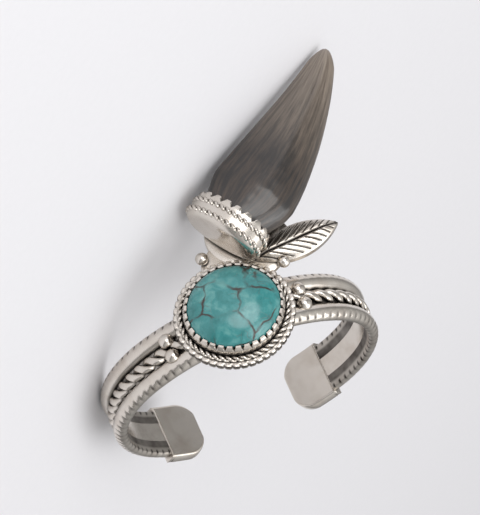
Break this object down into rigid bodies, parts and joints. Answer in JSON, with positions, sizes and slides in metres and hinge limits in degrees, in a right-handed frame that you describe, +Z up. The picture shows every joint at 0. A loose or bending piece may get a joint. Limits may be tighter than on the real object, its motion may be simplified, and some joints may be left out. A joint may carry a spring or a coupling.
{
  "type": "open cuff bracelet",
  "caption": "Open silver cuff bracelet of ridged and twisted wire with stamped ends, a domed turquoise stone in a bezel and a dark curved claw in a silver cap.",
  "frame": {"origin": "middle of the wrist opening, at the middle of the band's width", "axes": "+Z up as the bracelet lies on its side on a table, on one side of the band and on the claw's belly and tip; +Y towards its front with the stone, +X towards the claw's side"},
  "size_m": [0.0851, 0.0655, 0.0386],
  "materials": {
    "silver": "hand-polished silver with dark patina in the grooves",
    "turquoise": "polished",
    "claw": "natural claw, satin, dark brown to black"
  },
  "bodies": {
    "root": {"cuff": "silver", "stone": "turquoise", "claw": "claw"}
  },
  "joints": []
}
